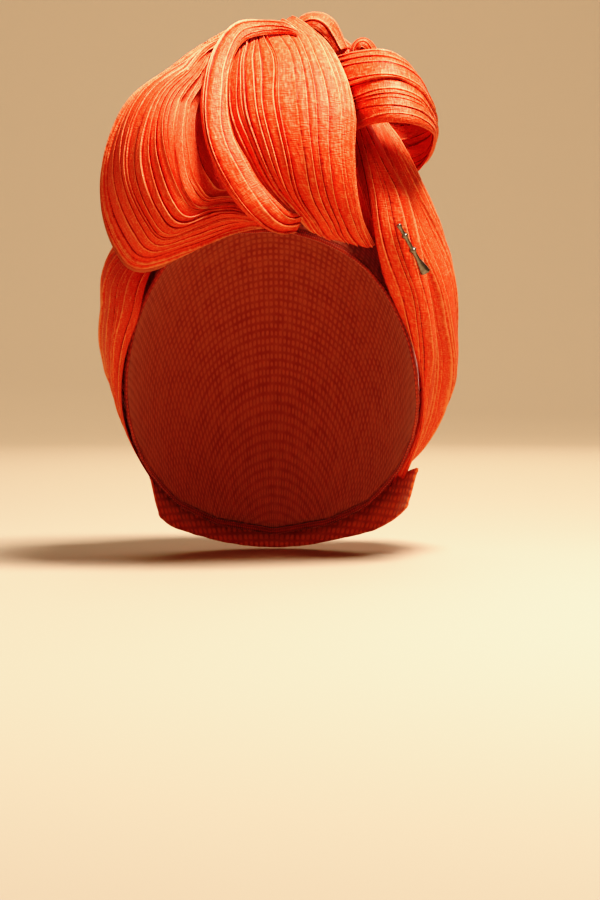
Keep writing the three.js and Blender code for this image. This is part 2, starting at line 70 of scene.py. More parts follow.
# A photographic curve with a dark toe and a soft shoulder, the same for red, green and blue: pairs of the
# light that the camera sees and the light that the picture shows.
TONE_CURVE = [(0.04, 0.014), (0.1, 0.08), (0.2, 0.215), (0.45, 0.53), (0.8, 0.86)]
TONE_END = (1.0, 0.95)
look = bpy.context.scene.view_settings
look.view_transform = "Standard"
look.use_curve_mapping = True
tone = look.curve_mapping.curves[3].points
tone[-1].location = TONE_END
for seen, shown in TONE_CURVE:
    tone.new(seen, shown)
look.curve_mapping.extend = "HORIZONTAL"
look.curve_mapping.update()

LAMPS = [
    # name, place, what it is aimed at, size in metres, power in watts, tint
    ("key", (0.3, -0.42, 0.95), (0, -0.03, 0), 0.35, 34, "#fff3ec"),
    ("fill", (-1.1, -1.2, 0.5), (0, 0, -0.08), 1.0, 2.5, "#ffeedd"),
    ("rear", (0.3, 1.3, 0.7), (0, 0, -0.05), 0.9, 6, "#fff2e4"),
    ("backdrop", (0, 0.8, 1.2), (0, 2.1, 0.2), 1.0, 20, "#fff2e4"),
]
for name, place, aim, size, power, tint in LAMPS:
    lamp = bpy.data.objects.new(name, bpy.data.lights.new(name, "AREA"))
    lamp.data.size = size
    lamp.data.energy = power
    lamp.data.color = linear(tint)[:3]
    way = np.array(aim) - np.array(place)
    lamp.location = place
    flat = np.hypot(way[0], way[1])
    lamp.rotation_euler = (np.arctan2(flat, -way[2]), 0, np.arctan2(-way[0], way[1]))
    bpy.context.collection.objects.link(lamp)

world = bpy.data.worlds.new("studio")
world.use_nodes = True
world.node_tree.nodes["Background"].inputs["Color"].default_value = linear("#f6efe4")
world.node_tree.nodes["Background"].inputs["Strength"].default_value = 0.14
bpy.context.scene.world = world


def new_material(name, **base):
    """A material with a Principled shader whose plain sockets are set here. Returns it, its tree and its
    shader."""
    made = bpy.data.materials.new(name)
    made.use_nodes = True
    shader = made.node_tree.nodes["Principled BSDF"]
    for key, value in base.items():
        shader.inputs[key.replace("_", " ")].default_value = value
    return made, made.node_tree, shader


# The sweep: a round of matte paper, flat under the piece and curved up all round it. Its flat part ends
# at the first of these in metres, its curve has the second as its radius, and its wall is as high as the
# third, and it lies half a millimetre under the piece. Matte paper scatters light evenly and shows no edge.
SWEEP_FLAT, SWEEP_CURVE, SWEEP_TOP = 1.6, 0.9, 3.4
SPOKES = 72
floor_z = cad_box[0][2] - 0.0005
arc = np.radians(np.linspace(0, 90, 13))
paper_out = np.concatenate([[0.01, 0.5], SWEEP_FLAT + SWEEP_CURVE * np.sin(arc), [SWEEP_FLAT + SWEEP_CURVE]])
paper_up = np.concatenate([[0, 0], SWEEP_CURVE - SWEEP_CURVE * np.cos(arc), [SWEEP_TOP]]) + floor_z
round_it = np.radians(np.arange(0, 360, 360 / SPOKES))
paper_points = np.stack([np.outer(paper_out, np.cos(round_it)), np.outer(paper_out, np.sin(round_it)),
                         np.repeat(paper_up[:, None], len(round_it), axis=1)], axis=-1).reshape(-1, 3)
step, spoke = np.meshgrid(np.arange(len(paper_out) - 1) * SPOKES, np.arange(SPOKES), indexing="ij")
beside = (spoke + 1) % SPOKES
paper_faces = np.stack([step + spoke, step + SPOKES + spoke, step + SPOKES + beside, step + beside], axis=-1)
paper_faces = paper_faces.reshape(-1, 4).tolist() + [list(range(SPOKES))]
paper_mesh = bpy.data.meshes.new("sweep")
paper_mesh.from_pydata(paper_points.tolist(), [], paper_faces)
paper_mesh.shade_smooth()
sweep = bpy.data.objects.new("sweep", paper_mesh)
paper, tree, shader = new_material("Matte studio paper", Base_Color=linear("#b9a48a"), Roughness=0.9)
sweep.data.materials.append(paper)
bpy.context.collection.objects.link(sweep)

# Woven cap
# The cap that everything is wound on: crepe woven in a coarse plain weave, cut high above the brow and
# low at the nape, and shaped in steam on an egg-shaped block.
# The block is two half ellipsoids: half its width and depth, its reach up and down from its widest level,
# and that level, all in mm.
BLOCK = {"x": 78, "y": 97, "up": 105, "down": 130, "level": -105}
CAP_WALL = 1.5
CAP_HEIGHT = 2
# The block's mean radius in mm, for the lengths down from its top on the cap's cloth map.
CAP_RADIUS = 110
CAP_EDGE = np.array([
    # turn from the front in degrees, level of the edge in mm
    (-180, -188), (-150, -182), (-128, -170), (-108, -146), (-92, -118), (-80, -92), (-72, -64), (-66, -46),
    (-60, -34), (-45, -27), (-25, -23), (0, -22), (14, -23), (29, -27), (40, -32), (50, -39), (60, -53),
    (70, -76), (80, -104), (92, -124), (108, -148), (128, -170), (150, -182), (180, -188),
])


def on_block(turn, level, height):
    """A point over the block: its place on the ellipsoid at that turn and level, moved out along the
    ellipsoid's normal by height."""
    a = np.radians(turn)
    reach = np.where(level > BLOCK["level"], BLOCK["up"], BLOCK["down"])
    k = np.sqrt(np.clip(1 - ((level - BLOCK["level"]) / reach) ** 2, 0, None))
    p = np.stack([BLOCK["x"] * k * np.sin(a), -BLOCK["y"] * k * np.cos(a), level + 0 * a], axis=-1)
    n = p / np.array([BLOCK["x"] ** 2, BLOCK["y"] ** 2, 1.0])
    n[..., 2] = (p[..., 2] - BLOCK["level"]) / reach ** 2
    return p + n / np.linalg.norm(n, axis=-1, keepdims=True) * np.asarray(height)[..., None]


# Where the noise's coordinates start on the silk and on the woven pieces, and how many random heights it
# has each way.
NOISE_START, WOVEN_START = 30, 40
LATTICE = 97


def soft_noise(x, y, seed, wrap=0):
    """Smooth noise from 0 to 1: random heights at whole numbers of x and y, eased between them. With
    wrap, x comes round to its start again after that distance from NOISE_START."""
    if wrap:
        x = (x - NOISE_START) * (np.ceil(wrap) / wrap)
    lattice = np.random.default_rng(seed).random((LATTICE, LATTICE))
    size = int(np.ceil(wrap)) if wrap else LATTICE
    i, j = np.floor(x).astype(int), np.floor(y).astype(int)
    f, g = x - i, y - j
    f, g = f * f * (3 - 2 * f), g * g * (3 - 2 * g)
    this, after = j % LATTICE, (j + 1) % LATTICE
    low = lattice[i % size, this] * (1 - f) + lattice[(i + 1) % size, this] * f
    high = lattice[i % size, after] * (1 - f) + lattice[(i + 1) % size, after] * f
    return low * (1 - g) + high * g


def grid_faces(rows, cols, joined=False):
    """The four-cornered faces of a grid of points numbered row by row, joined round its columns or not."""
    i, j = np.meshgrid(np.arange(rows - 1) * cols, np.arange(cols if joined else cols - 1), indexing="ij")
    k = (j + 1) % cols
    return np.stack([i + j, i + cols + j, i + cols + k, i + k], axis=-1).reshape(-1, 4)


def fan(tip, rim, backwards=False):
    """Four-cornered faces from the point numbered tip to each two edges of a closed rim of points."""
    a, b, c = rim[::2], rim[1::2], np.roll(rim[::2], -1)
    return np.stack([np.full(len(a), tip), *((c, b, a) if backwards else (a, b, c))], axis=1)


def make_piece(name, points, faces, uv, material, painted_shading=None):
    """A piece from arrays: points in mm, four-cornered faces, a place on the cloth in metres and, for each
    point, a painted lightness from 0 in the valleys, painted shade, to 1 on the ridges, a painted highlight.
    Its faces are turned to point outward."""
    a, b, c, d = (points[faces[:, k]] for k in range(4))
    volume = (np.cross(a, b) * c).sum() + (np.cross(a, c) * d).sum()
    faces = faces[:, ::-1] if volume < 0 else faces
    mesh = bpy.data.meshes.new(name)
    mesh.vertices.add(len(points))
    mesh.vertices.foreach_set("co", (points / 1000).astype(np.float32).ravel())
    mesh.loops.add(faces.size)
    mesh.loops.foreach_set("vertex_index", np.ascontiguousarray(faces, dtype=np.int32).ravel())
    mesh.polygons.add(len(faces))
    mesh.polygons.foreach_set("loop_start", np.arange(0, faces.size, 4, dtype=np.int32))
    mesh.update(calc_edges=True)
    mesh.shade_smooth()
    mesh.uv_layers.new(name="cloth").data.foreach_set("uv", uv[faces.ravel()].astype(np.float32).ravel())
    # Each point's painted lightness, painted shade in the valleys and painted highlights on the ridges, goes
    # into an attribute.
    if painted_shading is not None:
        attribute = mesh.attributes.new("painted_shading", "FLOAT", "POINT")
        attribute.data.foreach_set("value", painted_shading.astype(np.float32).ravel())
    mesh.materials.append(material)
    piece = bpy.data.objects.new(name, mesh)
    bpy.context.collection.objects.link(piece)
    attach(piece, "root")
    return piece


def add_node(tree, kind, settings=None, **links):
    """One shader node: settings are its own properties, and links its sockets, by name with _ for a space
    or by number after an n, with a value or with the socket that feeds them."""
    made = tree.nodes.new(kind)
    for key, value in (settings or {}).items():
        setattr(made, key, value)
    for key, value in links.items():
        numbered = key[0] == "n" and key[1:].isdigit()
        socket = made.inputs[int(key[1:]) if numbered else key.replace("_", " ")]
        if isinstance(value, bpy.types.NodeSocket):
            tree.links.new(value, socket)
        else:
            socket.default_value = value
    return made


def woven(name, thread_mm, deep, light, bump_mm, sheen):
    """Plain weave: warp and weft as two crossed waves on the piece's own cloth map, each wave two threads
    wide, which is the repeat of a plain weave, tinted unevenly, with the threads' height as the bump."""
    made, tree, shader = new_material(name, Roughness=0.85, Sheen_Weight=sheen, Sheen_Roughness=0.5)
    place = add_node(tree, "ShaderNodeUVMap", {"uv_map": "cloth"}).outputs[0]
    # A wave texture of scale 1 repeats every 2 pi / 20 m, and this one every two threads.
    threads = [add_node(tree, "ShaderNodeTexWave", {"bands_direction": way}, Vector=place,
                        Scale=1000 / thread_mm / 20 * np.pi, Distortion=1.2, Detail=2.0,
                        Detail_Scale=1.5).outputs["Fac"] for way in "XY"]
    cross = add_node(tree, "ShaderNodeMath", {"operation": "MULTIPLY"},
                     n0=threads[0], n1=threads[1]).outputs[0]
    blotch = add_node(tree, "ShaderNodeTexNoise", None, Vector=place, Scale=90.0, Detail=4.0).outputs["Fac"]
    both = add_node(tree, "ShaderNodeMath", {"operation": "ADD"}, n0=cross, n1=blotch).outputs[0]
    colour = add_node(tree, "ShaderNodeValToRGB", None, Fac=both)
    ramp = colour.color_ramp.elements
    ramp[0].position, ramp[0].color = 0.35, linear(deep)
    ramp[1].position, ramp[1].color = 1.15, linear(light)
    bump = add_node(tree, "ShaderNodeBump", None, Height=cross, Strength=0.8, Distance=bump_mm / 1000)
    tree.links.new(colour.outputs["Color"], shader.inputs["Base Color"])
    tree.links.new(bump.outputs["Normal"], shader.inputs["Normal"])
    return made


# Dull hard-twisted yarn gives a grainy matt face with a faint bloom along its edges. Its threads are drawn
# 2.4 mm wide, twice as coarse as the real ones, so that the weave shows.
crepe = woven("Coarse woven crepe", thread_mm=2.4, deep="#ad543e", light="#cc785b", bump_mm=0.4, sheen=0.25)

CAP_COLS, CAP_ROWS = 192, 59
ring = np.linspace(-180, 180, CAP_COLS + 1)[:-1]
edge = np.interp(ring, CAP_EDGE[:, 0], CAP_EDGE[:, 1])
rise = (edge - BLOCK["level"]) / np.where(edge > BLOCK["level"], BLOCK["up"], BLOCK["down"])
lean = np.cos(np.arccos(rise)[None, :] * np.linspace(0, 1, CAP_ROWS + 1)[1:, None])
level = BLOCK["level"] + lean * np.where(lean > 0, BLOCK["up"], BLOCK["down"])
turns = np.broadcast_to(ring, level.shape)
ripple = 0.35 * (soft_noise(turns / 9 + WOVEN_START, level / 14 + WOVEN_START, 3) - 0.5)
skins = [on_block(turns, level, CAP_HEIGHT + side * CAP_WALL / 2 + ripple) for side in (1, -1)]
rows, cols = level.shape
n = rows * cols
poles = np.array([[0, 0, CAP_HEIGHT + CAP_WALL / 2], [0, 0, CAP_HEIGHT - CAP_WALL / 2]])
points = np.concatenate([skins[0].reshape(-1, 3), skins[1].reshape(-1, 3), poles])
each = np.arange(cols)
last = (rows - 1) * cols
lip = np.stack([last + each, n + last + each, n + last + (each + 1) % cols, last + (each + 1) % cols], axis=1)
outside = grid_faces(rows, cols, joined=True)
tops = [fan(2 * n, each), fan(2 * n + 1, n + each, backwards=True)]
faces = np.concatenate([outside, n + outside[:, ::-1], *tops, lip])
out = CAP_RADIUS * np.arccos(lean)
uv = np.stack([out * np.sin(np.radians(turns)), out * np.cos(np.radians(turns))], axis=-1).reshape(-1, 2)
uv = np.concatenate([uv, uv, [[0, 0], [0, 0]]]) / 1000
base_cap = make_piece("cap_of_woven_crepe", points, faces, uv, crepe)
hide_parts("base_cap")

# Edge binding
# A bias strip of the same crepe, rolled twice round the cap's raw edge and stitched down, so that it
# shows as two soft cords side by side.
BINDING_SECTION = np.array([
    # height above the block, distance past the cap's edge
    (2.75, 1.0), (3.0, 1.5), (3.0, 2.1), (2.5, 2.7), (2.85, 3.2), (2.85, 3.8), (2.4, 4.4), (1.6, 4.5),
    (1.0, 4.1), (0.95, 3.2), (0.95, 2.0), (1.0, 1.0),
])
# How many stitches pull it in round the edge, and the edge's mean radius in mm, for the cloth map.
STITCHES = 57
BINDING_RADIUS = 85
ring = np.linspace(-180, 180, 361)[:-1]
edge = np.interp(ring, CAP_EDGE[:, 0], CAP_EDGE[:, 1])
# The bends of the edge are rounded: each point takes the mean of the seven round it.
edge = np.convolve(np.concatenate([edge[-3:], edge, edge[:3]]), np.ones(7) / 7, mode="valid")
down = on_block(ring, edge - 1, np.zeros(len(ring))) - on_block(ring, edge, np.zeros(len(ring)))
down /= np.linalg.norm(down, axis=1, keepdims=True)
uneven = soft_noise(ring / 6 + WOVEN_START, ring * 0 + 3, 5) - 0.5
wave = 1 + 0.05 * np.sin(np.radians(ring) * STITCHES) + 0.08 * uneven
height, past = BINDING_SECTION[:, 0], BINDING_SECTION[:, 1]
grid = on_block(ring[:, None] + 0 * height, edge[:, None] + 0 * height, height * wave[:, None])
grid = grid + down[:, None, :] * past[None, :, None]
rows, cols = grid.shape[:2]
faces = grid_faces(rows, cols, joined=True)
seam = grid_faces(2, cols, joined=True)
faces = np.concatenate([faces, np.where(seam < cols, seam + (rows - 1) * cols, seam - cols)])
# On the cloth map the points of the section are 0.9 mm apart.
length = np.radians(ring) * BINDING_RADIUS
uv = np.stack([np.repeat(length, cols), np.tile(np.cumsum(np.full(cols, 0.9)), rows)], axis=1) / 1000
# The same crepe on the bias, finer and darker, because the rolled layers shade each other.
rolled_crepe = woven("Rolled bias binding", thread_mm=0.8, deep="#7d2416", light="#c04c2e", bump_mm=0.3,
                     sheen=0.3)
binding = make_piece("edge_binding", grid.reshape(-1, 3), faces, uv, rolled_crepe)
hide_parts("rim_binding")

# Nape band
# A strip of brighter crepe with a turned hem along both edges, stitched round the nape over the ends of
# the wraps, which it holds down on the cap.
NAPE_BAND = np.array([
    # turn, top and bottom levels, height above the block
    (108, -149, -170, 12.3), (122, -155, -181, 11), (140, -160, -188, 9.5), (160, -164, -193, 9),
    (180, -166, -195, 9), (200, -164, -193, 9), (218, -160, -188, 9), (232, -156, -183, 9),
    (240, -154, -177, 9),
])


def closed_sheet(outer, inner):
    """Points and faces of a thin closed sheet: an outer and an inner grid, and a wall along each of its
    four edges."""
    rows, cols = outer.shape[:2]
    n = rows * cols
    points = np.concatenate([outer.reshape(-1, 3), inner.reshape(-1, 3)])
    front = grid_faces(rows, cols)
    i, j = np.arange(rows - 1) * cols, np.arange(cols - 1)
    last = (rows - 1) * cols
    walls = [
        np.stack([i, n + i, n + i + cols, i + cols], axis=1),
        np.stack([i, i + cols, n + i + cols, n + i], axis=1) + cols - 1,
        np.stack([j, j + 1, n + j + 1, n + j], axis=1),
        np.stack([last + j, n + last + j, n + last + j + 1, last + j + 1], axis=1),
    ]
    return points, np.concatenate([front, n + front[:, ::-1], *walls])


def spline(table, t):
    """A smooth Catmull-Rom curve through the rows of a table at each t from 0 to 1, all columns alike."""
    table = np.asarray(table, float)
    span = np.clip(t, 0, 1) * (len(table) - 1)
    i = np.minimum(span.astype(int), len(table) - 2)
    f = (span - i)[:, None]
    long = np.concatenate([[2 * table[0] - table[1]], table, [2 * table[-1] - table[-2]]])
    a, b, c, d = (long[i + k] for k in range(4))
    square, cube = 2 * a - 5 * b + 4 * c - d, 3 * b - a - 3 * c + d
    return 0.5 * (2 * b + (c - a) * f + square * f ** 2 + cube * f ** 3)


# The nape's mean radius in mm for the cloth map, how far out and in the band's faces lie from its height
# in mm, and where its hems are across it.
NAPE_RADIUS = 88
BAND_OUT, BAND_IN = 0.5, 0.7
HEMS = (0.07, 0.93)
band = spline(NAPE_BAND, np.linspace(0, 1, 240))
across = np.linspace(0, 1, 25)
hem = 0.5 * sum(np.clip(1 - np.abs(across - hem_at) / 0.05, 0, 1) for hem_at in HEMS)
levels = band[:, 1:2] + (band[:, 2:3] - band[:, 1:2]) * across
turns = band[:, 0:1] + 0 * across
wrinkle = 0.8 * (soft_noise(turns / 4 + WOVEN_START, across * 3 + 10 + 0 * turns, 8) - 0.5)
outer = on_block(turns, levels, band[:, 3:4] + BAND_OUT + hem + wrinkle)
inner = on_block(turns, levels, band[:, 3:4] - BAND_IN + wrinkle)
points, faces = closed_sheet(outer, inner)
flat_place = np.stack([np.radians(turns) * NAPE_RADIUS, -levels], axis=-1).reshape(-1, 2) / 1000
# A matt crepe in the silk's own orange, its threads drawn 2 mm wide, coarse enough to show.
band_crepe = woven("Woven crepe band", thread_mm=2.0, deep="#c23d1c", light="#ee7340", bump_mm=0.4, sheen=0.3)
nape_band = make_piece("nape_band_crepe", points, faces, np.concatenate([flat_place] * 2), band_crepe)
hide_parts("nape_band")

# Crown wrap
# A wide length of crinkle silk over the back of the cap, gathered under the knot and stitched down under
# the nape band. The cloth is heat set in uneven knife pleats, which all run the way it is wound.
CROWN_WRAP = [
    # near edge, far edge, lift between them, how closely it follows the block, how full it is over it
    (-17, 9, 60, 23, 7, 58, 5, 0, 5), (-48, 14, 40, 48, 10, 39, 14, 0, 5),
    (-78, 14, 8, 72, 10, 6, 24, 0.1, 5), (-81, 20, -24, 79, 20, -26, 40, 0.45, 6),
    (-77, 34, -56, 77, 34, -58, 54, 0.85, 7), (-73, 50, -90, 73, 50, -92, 52, 1, 7),
    (-65, 62, -122, 65, 62, -124, 40, 1, 6), (-54, 72, -150, 54, 72, -150, 26, 1, 2),
    (-44, 78, -176, 44, 78, -176, 16, 1, 0),
]
# How many columns such a table has at most, the last ones taken as 0 where they are left out.
SECTION_COLUMNS = 9
# How high the cloth's middle lies over the block at least, and how thick the cloth is, in mm.
SHEET_HEIGHT = 4.3
CLOTH = 0.9


def height_above(p):
    """How far a point stands out from the block, along the line from the middle of its widest level: its
    distance from there times one less one over its ratio to the ellipsoid's."""
    q = p - np.array([0, 0, BLOCK["level"]])
    reach = np.where(q[..., 2] > 0, BLOCK["up"], BLOCK["down"])
    ratio = np.sqrt((q[..., 0] / BLOCK["x"]) ** 2 + (q[..., 1] / BLOCK["y"]) ** 2 + (q[..., 2] / reach) ** 2)
    return np.linalg.norm(q, axis=-1) * (1 - 1 / ratio)


def at_height(p, height):
    """The same point moved along that line to another height."""
    q = p - np.array([0, 0, BLOCK["level"]])
    out = np.linalg.norm(q, axis=-1)
    return np.array([0, 0, BLOCK["level"]]) + q * ((out + height - height_above(p)) / out)[..., None]


# From so many knees above the least height on, a point stays where it is.
STRAIGHT_FROM = 30


def kept_above(p, least, knee):
    """Points pushed out where they would lie lower than least over the block, softly over the knee: the
    new height is least plus the knee times the logarithm of one plus e to the old height over it."""
    over = (height_above(p) - least) / knee
    bent = np.log1p(np.exp(np.minimum(over, STRAIGHT_FROM)))
    return at_height(p, least + knee * np.where(over > STRAIGHT_FROM, over, bent))


def normals(grid, joined=False):
    """Unit normals of a grid: the cross product of its slopes along the rows and round the columns."""
    if joined:
        right = (np.roll(grid, -1, axis=1) - np.roll(grid, 1, axis=1)) / 2
    else:
        right = np.gradient(grid, axis=1)
    n = np.cross(np.gradient(grid, axis=0), right)
    return n / np.maximum(np.linalg.norm(n, axis=-1, keepdims=True), 1e-9)


# Each pleat's lightness is painted: painted shade in the groove and a painted highlight along the lip.
PLEAT = np.array([
    # place across one pleat as a share of its width and an offset in mm, height in mm, painted lightness
    (0, 0, -0.6, 0.1), (0, 0.35, -1, -0.1), (0, 0.8, -0.15, 0.4), (0.4, 0, 0.05, 0.5), (0.7, 0, 0.14, 0.52),
    (1, -0.95, 0.3, 0.58), (1, -0.6, 0.9, 0.95), (1, -0.3, 1, 1),
])


def pleat_lines(count, girth, along_mm, seed, wander, joined=False):
    """Knife pleats as columns of a grid, eight to a pleat: a groove, a nearly flat face and a thin raised
    lip. Widths and sizes are uneven, and the lines wander slowly and fade in and out along the length.
    Returns for each point its place across from 0 to 1, its height in mm and its painted lightness, with
    painted shade in the groove and a painted highlight on the lip."""
    rng = np.random.default_rng(seed)
    widths = rng.uniform(0.3, 1.7, count)
    marks = np.concatenate([[0], np.cumsum(widths)])[:, None] / widths.sum()
    wide = np.diff(marks, axis=0)
    x = (marks[:-1] + PLEAT[:, 0] * wide + PLEAT[:, 1] / girth * np.minimum(1, wide * girth / 6)).ravel()
    which = np.repeat(np.arange(count), len(PLEAT))
    lip, light = np.tile(PLEAT[:, 2], count), np.tile(PLEAT[:, 3], count)
    if not joined:
        x, which = np.append(x, 1), np.append(which, count - 1)
        lip, light = np.append(lip, 0.2), np.append(light, 0.6)
    wrap = count if joined else 0
    v = along_mm[:, None]
    start = NOISE_START
    drift = soft_noise(x[None] * count / 4 + start, v / 60 + start, seed + 1, wrap / 4) - 0.5
    drift = drift + 0.4 * (soft_noise(x[None] * count / 2 + start, v / 25 + start, seed + 2, wrap / 2) - 0.5)
    fade = 1 if joined else np.clip(np.minimum(x, 1 - x) * count / 2, 0, 1)
    u = x + wander * 2.0 * fade * drift / count
    tall = (0.35 + 1.1 * rng.random(count) ** 2)[which]
    strong = np.clip(1.9 * soft_noise(which * 3.7 + start + 0 * v, v / 34 + start, seed + 3) - 0.1, 0.12, 1.5)
    layer = soft_noise(which * 5.3 + start + 0 * v, v / 45 + start, seed + 4)
    layer = layer * (rng.random(count) - 0.5)[which]
    crumple = soft_noise(np.arange(len(x)) * 0.6 + start + 0 * v, v / 11 + start, seed + 5) - 0.5
    # The third value is the painted lightness: painted shade in the groove and a painted highlight on the
    # lip, with more contrast where the pleat is stronger.
    return u, lip * tall * strong + 1.3 * layer + 0.35 * crumple, 0.5 + (light - 0.5) * strong ** 0.7


def draped(table, rows, pleats, seed, side=1, far=0, start=0, end=0, depth=1, folds=(0, 0), girth=80):
    """A draped sheet of so many rows and pleats: between the two edges of each section it bulges as half
    an ellipse of the section's lift, then the pleats, with broader folds under them, raise it along its
    normals, and it is kept off the block. side says which way it bulges, far how much higher its far edge
    lies, start and end over what share of the length the pleats fade, depth their height, folds how many
    broad folds there are and how high, and girth its width in mm. Returns its two skins, its cloth places
    and its painted lightness, painted shade in the grooves and painted highlights on the lips."""
    v = np.linspace(0, 1, rows)
    wide = np.array([list(row) + [0] * (SECTION_COLUMNS - len(row)) for row in table])
    line = spline(wide, v)
    near, across = line[:, :3], line[:, 3:6] - line[:, :3]
    middle = near + across / 2
    out = np.cross(np.gradient(middle, axis=0), across)
    out /= np.linalg.norm(out, axis=1, keepdims=True)
    run = np.concatenate([[0], np.cumsum(np.linalg.norm(np.diff(middle, axis=0), axis=1))])
    u, high, light = pleat_lines(pleats, girth, run, seed, 1.0)
    t, arch = (1 - np.cos(np.pi * u)) / 2, np.sin(np.pi * u)
    grid = near[:, None] + across[:, None] * t[..., None]
    grid = grid + (side * line[:, 6, None] * arch)[..., None] * out[:, None]
    close = at_height(grid, SHEET_HEIGHT + line[:, 8, None] * arch)
    hug = np.clip(line[:, 7], 0, 1)[:, None, None]
    grid = grid * (1 - hug) + close * hug
    girth = np.linalg.norm(np.diff(grid, axis=1), axis=2).sum(axis=1).mean()
    along_mm = np.broadcast_to(run[:, None], u.shape)
    height = depth * high
    if folds[0]:
        swell = soft_noise(u * folds[0] + NOISE_START, along_mm / 70 + NOISE_START, seed + 20)
        height = height + folds[1] * (swell - 0.5)
    from_start = np.clip(v / start, 0, 1) if start else np.ones(rows)
    to_end = np.clip((1 - v) / end, 0, 1) if end else np.ones(rows)
    loose = from_start * to_end
    # The pleats flatten towards both edges, and towards the end the layers lie closer together.
    edges = 0.35 + 0.65 * np.clip(np.minimum(u, 1 - u) * 14, 0, 1)
    n = normals(grid)
    n = n * side * np.sign((n[rows // 2, n.shape[1] // 2] * out[rows // 2]).sum())
    grid = grid + n * (height * loose[:, None] * edges)[..., None]
    eased = to_end[:, None]
    raised = np.minimum(1, 2 * t) * far * (0.55 + 0.45 * eased)
    grid = kept_above(grid, SHEET_HEIGHT + raised, 0.4 + 1.6 * eased)
    place = np.stack([u * girth, along_mm], axis=-1).reshape(-1, 2) / 1000
    return grid + n * CLOTH / 2, grid - n * CLOTH / 2, place, light.ravel()


def crinkle_silk(name, painted_valley_shade, body, painted_ridge_highlight):
    """Pleated crinkle silk, heat set: painted shade in deep saturated red in the valleys, flat orange faces,
    thin pale painted highlights along the ridges, and the slubs of a plain weave. The threads are 0.45 mm
    apart in the real cloth, and the slubs drawn here are dashes 0.7 mm thick, 2 mm long across the pleats and
    4 mm along them."""
    made, tree, shader = new_material(name, Roughness=0.6, Specular_IOR_Level=1.0,
                                      Specular_Tint=linear("#ffac98"))
    place = add_node(tree, "ShaderNodeUVMap", {"uv_map": "cloth"}).outputs[0]
    # The attribute read here holds each point's painted lightness.
    light = add_node(tree, "ShaderNodeAttribute", {"attribute_name": "painted_shading"}).outputs["Fac"]
    slubs = []
    # Dashes to a metre across the pleats and along them.
    for size in [(1500.0, 260.0, 1.0), (480.0, 1600.0, 1.0)]:
        stretched = add_node(tree, "ShaderNodeMapping", None, Vector=place, Scale=size).outputs[0]
        slub = add_node(tree, "ShaderNodeTexNoise", None, Vector=stretched, Scale=1.0, Detail=1.0)
        slubs.append(slub.outputs["Fac"])
    weave = add_node(tree, "ShaderNodeMath", {"operation": "ADD"}, n0=slubs[0], n1=slubs[1]).outputs[0]
    blotch = add_node(tree, "ShaderNodeTexNoise", None, Vector=place, Scale=45.0, Detail=3.0).outputs["Fac"]
    fine = add_node(tree, "ShaderNodeMath", {"operation": "MULTIPLY_ADD"},
                    n0=weave, n1=0.8, n2=-0.8).outputs[0]
    patch = add_node(tree, "ShaderNodeMath", {"operation": "MULTIPLY_ADD"},
                     n0=blotch, n1=0.3, n2=-0.15).outputs[0]
    first = add_node(tree, "ShaderNodeMath", {"operation": "ADD"}, n0=light, n1=fine).outputs[0]
    both = add_node(tree, "ShaderNodeMath", {"operation": "ADD"}, n0=first, n1=patch).outputs[0]
    colour = add_node(tree, "ShaderNodeValToRGB", None, Fac=both)
    ramp = colour.color_ramp.elements
    # The ramp paints shade into the valleys as deep red and paints highlights along the ridges as pale
    # orange; the flat faces keep the body colour.
    ramp[0].position, ramp[0].color = 0.05, linear(painted_valley_shade)
    ramp[1].position, ramp[1].color = 1.0, linear(painted_ridge_highlight)
    for spot in (0.3, 0.44):
        ramp.new(spot).color = linear(body)
    bump = add_node(tree, "ShaderNodeBump", None, Height=weave, Strength=0.8, Distance=0.0005)
    tree.links.new(colour.outputs["Color"], shader.inputs["Base Color"])
    tree.links.new(bump.outputs["Normal"], shader.inputs["Normal"])
    return made


# Painted highlights run along the ridges as pale lines, and painted shade turns the valleys between them deep
# red.
silk = crinkle_silk("Pleated crinkle silk", painted_valley_shade="#8a0602", body="#e24320", painted_ridge_highlight="#f5916a")


def silk_sheet(name, node, table, rows, pleats, seed, held, flat, rests_on, **shape):
    outer, inner, place, painted_shading = draped(table, rows, pleats, seed, **shape)
    points, faces = closed_sheet(outer, inner)
    piece = make_piece(name, points, faces, np.concatenate([place] * 2), silk, np.concatenate([painted_shading] * 2))
    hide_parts(node)


silk_sheet("crown_wrap_cloth", "crown_wrap", CROWN_WRAP, rows=120, pleats=42, seed=11, held="draped",
           flat=(0.250, 0.200), rests_on=["cap_of_woven_crepe"], side=-1, end=0.2, girth=190, folds=(9, 2.2))

# Side wrap at the left
# A length of the same pleated silk, wound down beside the left temple over the crown wrap's edge and
# stitched in under the nape band.
LEFT_WRAP = [
    # near edge, far edge, lift between them
    (-60, -25, -37, -78.5, 24, -18, 4), (-66, -39, -51, -84, 36, -35, 14), (-69, -41, -68, -84, 48, -53, 16),
    (-73, -28, -87.5, -79, 62, -77.5, 18), (-75.5, -8, -111.5, -68.5, 78, -103, 16),
    (-75, 18, -135.5, -55, 88, -126.5, 9), (-67, 42, -161.5, -44, 87, -151, 1),
]
silk_sheet("side_wrap_left_cloth", "side_wrap_left", LEFT_WRAP, rows=120, pleats=17, seed=23,
           held="draped", flat=(0.100, 0.160), rests_on=["cap_of_woven_crepe"],
           side=-1, far=4, end=0.2, folds=(5, 2.2))

